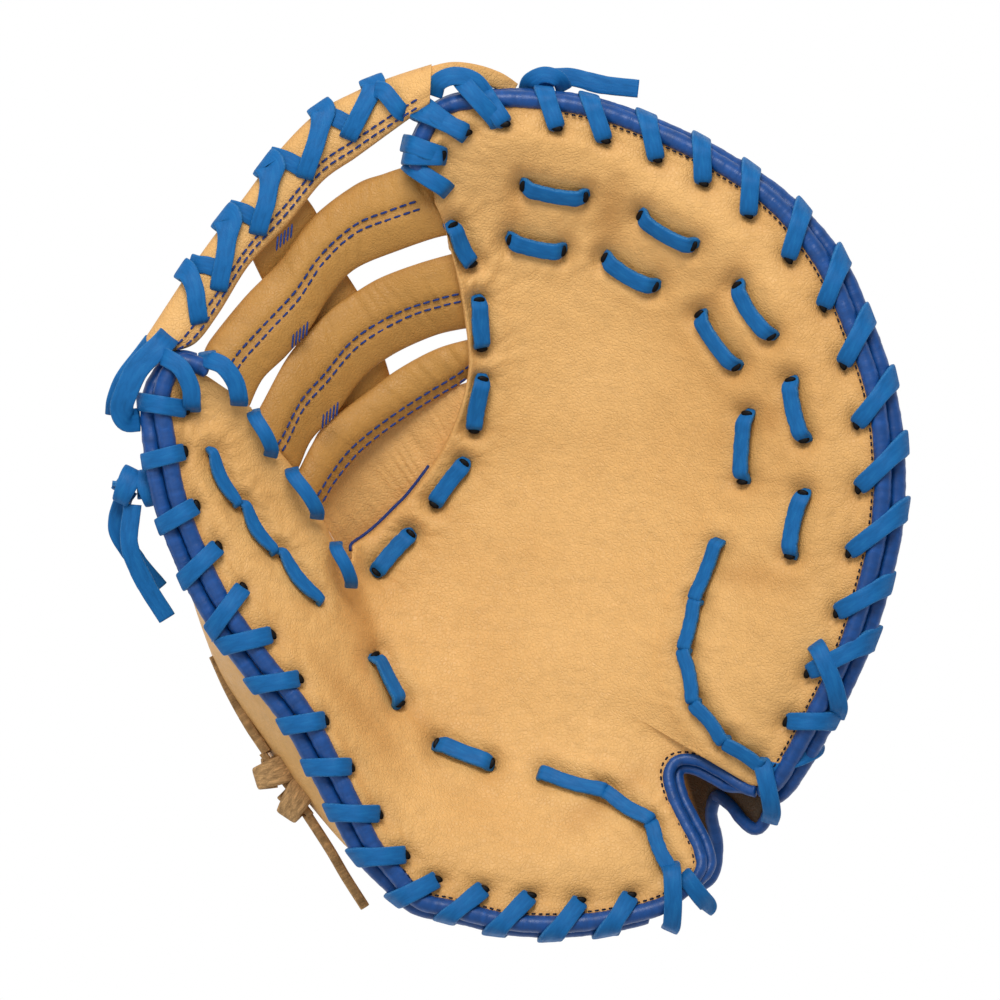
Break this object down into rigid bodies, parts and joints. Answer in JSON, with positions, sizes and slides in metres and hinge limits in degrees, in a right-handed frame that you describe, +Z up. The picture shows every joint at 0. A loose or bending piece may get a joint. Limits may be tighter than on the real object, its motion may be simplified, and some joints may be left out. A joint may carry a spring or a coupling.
{
  "type": "first baseman mitt",
  "caption": "Left-hand first baseman mitt of tan leather with royal blue bound edges, blue rawhide lacing and an open barred web, lying on its back.",
  "frame": {"origin": "under the middle of the mitt on the surface it lies on, measured without its free lace ends", "axes": "+Z up out of the palm, +Y from the heel toward the finger tips, +X toward the little-finger side"},
  "size_m": [0.2737, 0.2986, 0.0903],
  "materials": {
    "tan_leather": "smooth, semi-matt",
    "blue_binding": "polished",
    "blue_lace": "waxed rawhide",
    "tan_thong": "raw suede"
  },
  "bodies": {
    "root": {"palm_panel": "tan_leather", "finger_back": "tan_leather", "thumb_back": "tan_leather", "wrist_strap": "tan_leather", "front_binding_fingers": "blue_binding", "back_binding_fingers": "blue_binding", "front_binding_thumb": "blue_binding", "back_binding_thumb": "blue_binding", "notch_binding": "blue_binding", "wrist_binding": "blue_binding", "web_top_bar": "tan_leather", "web_second_bar": "tan_leather", "web_third_bar": "tan_leather", "web_fourth_bar": "tan_leather", "web_base": "tan_leather", "web_post": "tan_leather", "rim_lace_fingers": "blue_lace", "rim_lace_thumb": "blue_lace", "web_lace": "blue_lace", "outer_lace_1": "blue_lace", "outer_lace_2": "blue_lace", "outer_lace_3": "blue_lace", "outer_lace_4": "blue_lace", "outer_lace_5": "blue_lace", "inner_lace_1": "blue_lace", "inner_lace_2": "blue_lace", "inner_lace_3": "blue_lace", "inner_lace_4": "blue_lace", "bay_lace_1": "blue_lace", "bay_lace_2": "blue_lace", "bay_lace_3": "blue_lace", "bay_lace_4": "blue_lace", "bay_lace_5": "blue_lace", "thumb_edge_lace_1": "blue_lace", "thumb_chain_1": "blue_lace", "thumb_chain_2": "blue_lace", "thumb_chain_3": "blue_lace", "pinky_chain_1": "blue_lace", "pinky_chain_2": "blue_lace", "pinky_chain_3": "blue_lace", "pinky_chain_4": "blue_lace", "pinky_chain_5": "blue_lace", "heel_chain_1": "blue_lace", "heel_chain_2": "blue_lace", "heel_chain_3": "blue_lace", "heel_lace_1": "blue_lace", "top_tail": "blue_lace", "left_long_tail": "blue_lace", "left_short_tail": "blue_lace", "thong_upper_tail": "tan_thong", "thong_lower_tail": "tan_thong", "left_knot": "blue_lace", "thong_knot": "tan_thong"}
  },
  "joints": []
}
